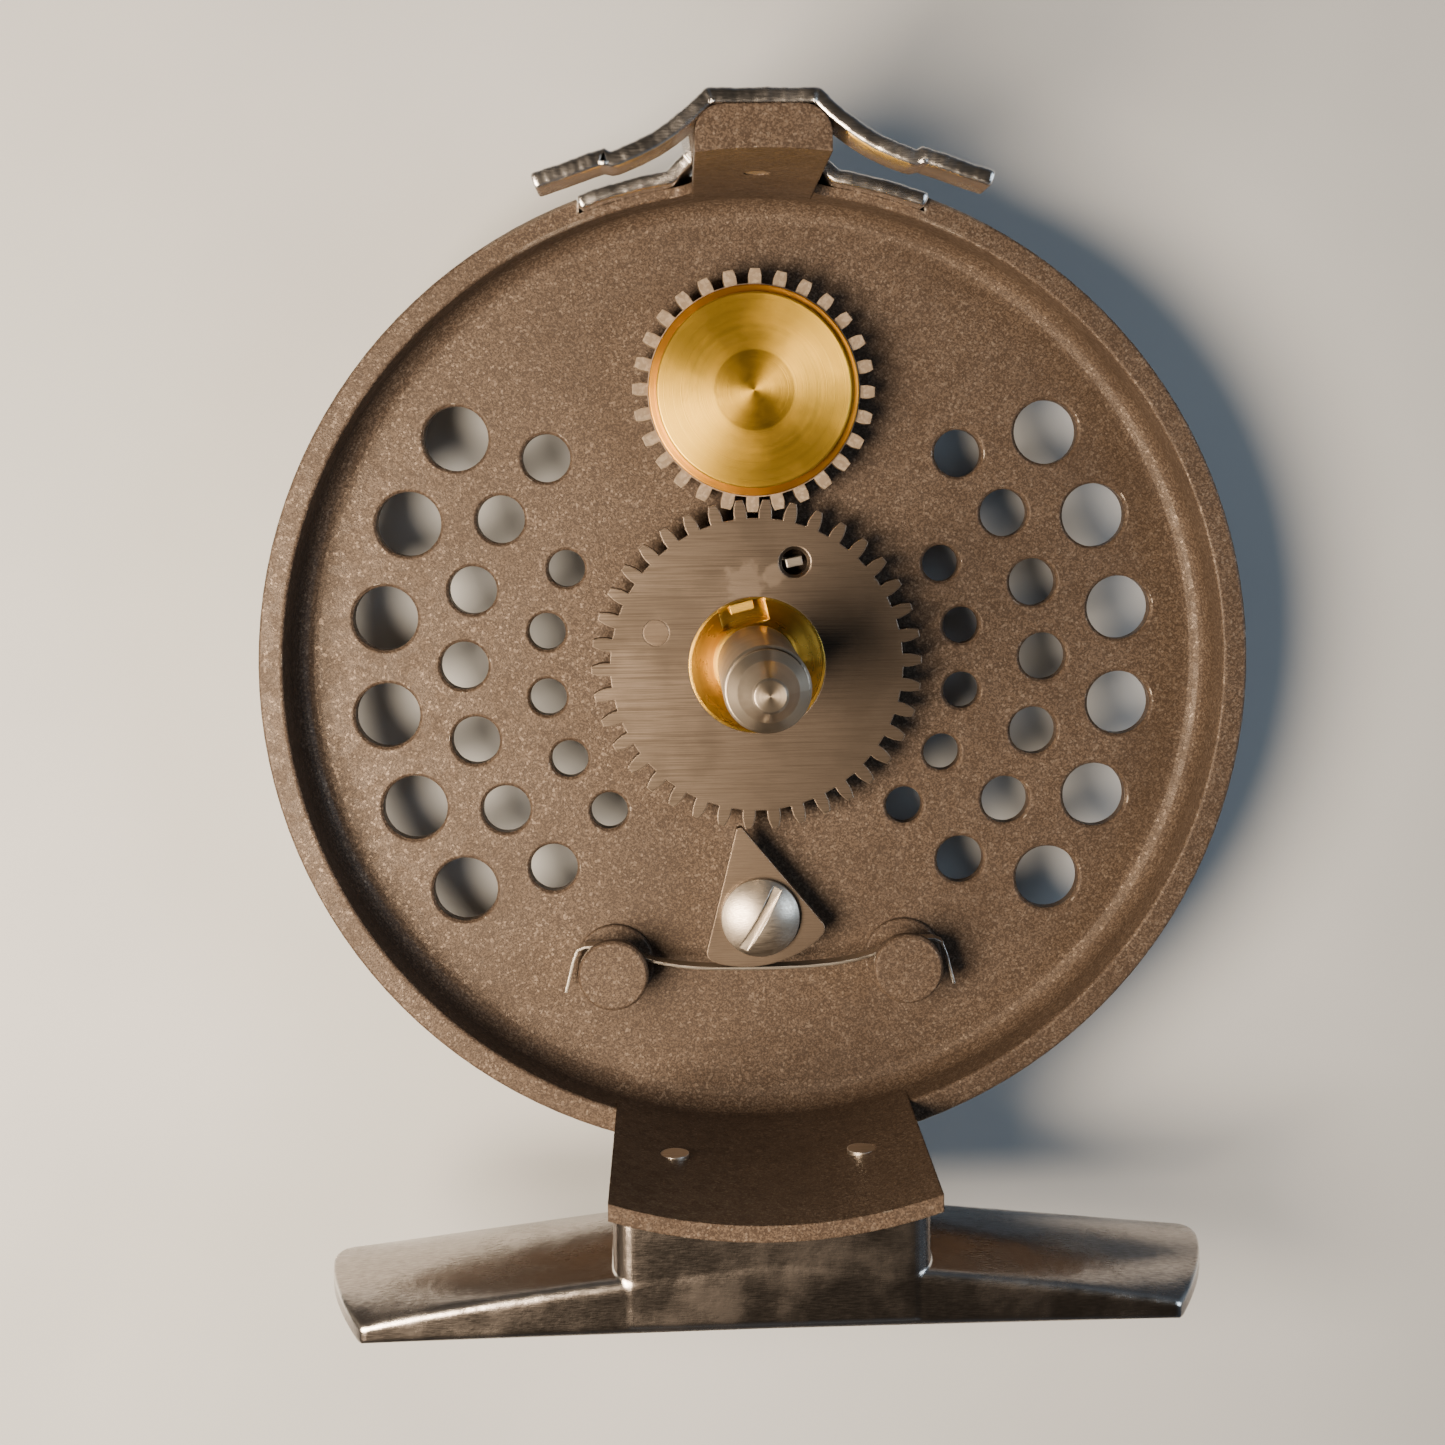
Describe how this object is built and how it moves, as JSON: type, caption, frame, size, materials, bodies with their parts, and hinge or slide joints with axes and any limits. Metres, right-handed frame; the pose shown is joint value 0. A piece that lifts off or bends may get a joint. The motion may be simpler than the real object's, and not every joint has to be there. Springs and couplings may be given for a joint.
{
  "type": "fly reel frame",
  "caption": "Fly reel frame shown without its spool: spindle, geared click wheel and disc drag, sprung click pawl, line guard and rod foot.",
  "frame": {"origin": "on the spindle's axis at the foot of the spool's bearing, where the spool comes to rest", "axes": "+Z along the spindle towards its free end, +Y from the spindle to the line guard, X along the foot"},
  "size_m": [0.0888, 0.1017, 0.0378],
  "materials": {
    "painted_frame": "hard-wearing gunmetal paint with fine speckle",
    "turned_steel": "turned steel with fine rings",
    "screw_steel": "bright machine screws",
    "brushed_steel": "straight brush marks",
    "spring_steel": "tempered strip",
    "brass": "turned brass with concentric marks",
    "bronze": "warm bronze washer",
    "nylon": "grey-white nylon",
    "fibre": "dark fibre friction washer",
    "knob_alloy": "anodised knob",
    "chrome": "bright plated strip",
    "satin_chrome": "worn satin plating"
  },
  "bodies": {
    "frame_body": {"frame": "painted_frame", "spindle": "turned_steel", "spindle_screw": "screw_steel", "bronze_washer": "bronze", "drag_disc": "brass", "friction_washer": "fibre", "drag_stud": "turned_steel", "cup_springs": "spring_steel", "knob_screw": "screw_steel", "pawl_screw": "screw_steel", "click_spring": "spring_steel", "spring_posts": "painted_frame", "line_guard": "chrome", "guard_screw": "screw_steel", "foot": "satin_chrome", "foot_screws": "screw_steel"},
    "wheel_body": {"click_wheel": "brushed_steel", "wheel_hub": "brass", "clutch_pin": "screw_steel", "clutch_spring": "spring_steel"},
    "clutch_body": {"clutch_pawl": "spring_steel"},
    "drag_wheel_body": {"drag_wheel": "nylon"},
    "knob_body": {"drag_knob": "knob_alloy", "knob_insert": "brass"},
    "pawl_body": {"click_pawl": "brushed_steel"}
  },
  "joints": [
    {"name": "click_wheel_spin", "type": "hinge", "parent": "frame_body", "child": "wheel_body", "pos_m": [0, 0, 0], "axis": [0, 0, 1], "continuous": true},
    {"name": "drag_wheel_spin", "type": "hinge", "parent": "frame_body", "child": "drag_wheel_body", "pos_m": [0, 0.02475, 0], "axis": [0, 0, 1], "continuous": true},
    {"name": "click_pawl_swing", "type": "hinge", "parent": "frame_body", "child": "pawl_body", "pos_m": [0, -0.02316, 0], "axis": [0, 0, 1], "range_deg": [0, 15], "stiffness_Nm_per_rad": 0.002, "deforming": ["click_spring"]},
    {"name": "clutch_pawl_swing", "type": "hinge", "parent": "wheel_body", "child": "clutch_body", "pos_m": [-0.00911, 0.00307, 0], "axis": [0, 0, 1], "range_deg": [0, 8], "stiffness_Nm_per_rad": 0.001, "deforming": ["clutch_spring"]},
    {"name": "drag_knob_turn", "type": "hinge", "parent": "frame_body", "child": "knob_body", "pos_m": [0, 0.02475, 0], "axis": [0, 0, -1], "range_deg": [0, 270]}
  ],
  "couplings": [
    {"joint": "drag_wheel_spin", "follows": "click_wheel_spin", "ratio": -1.3571}
  ]
}
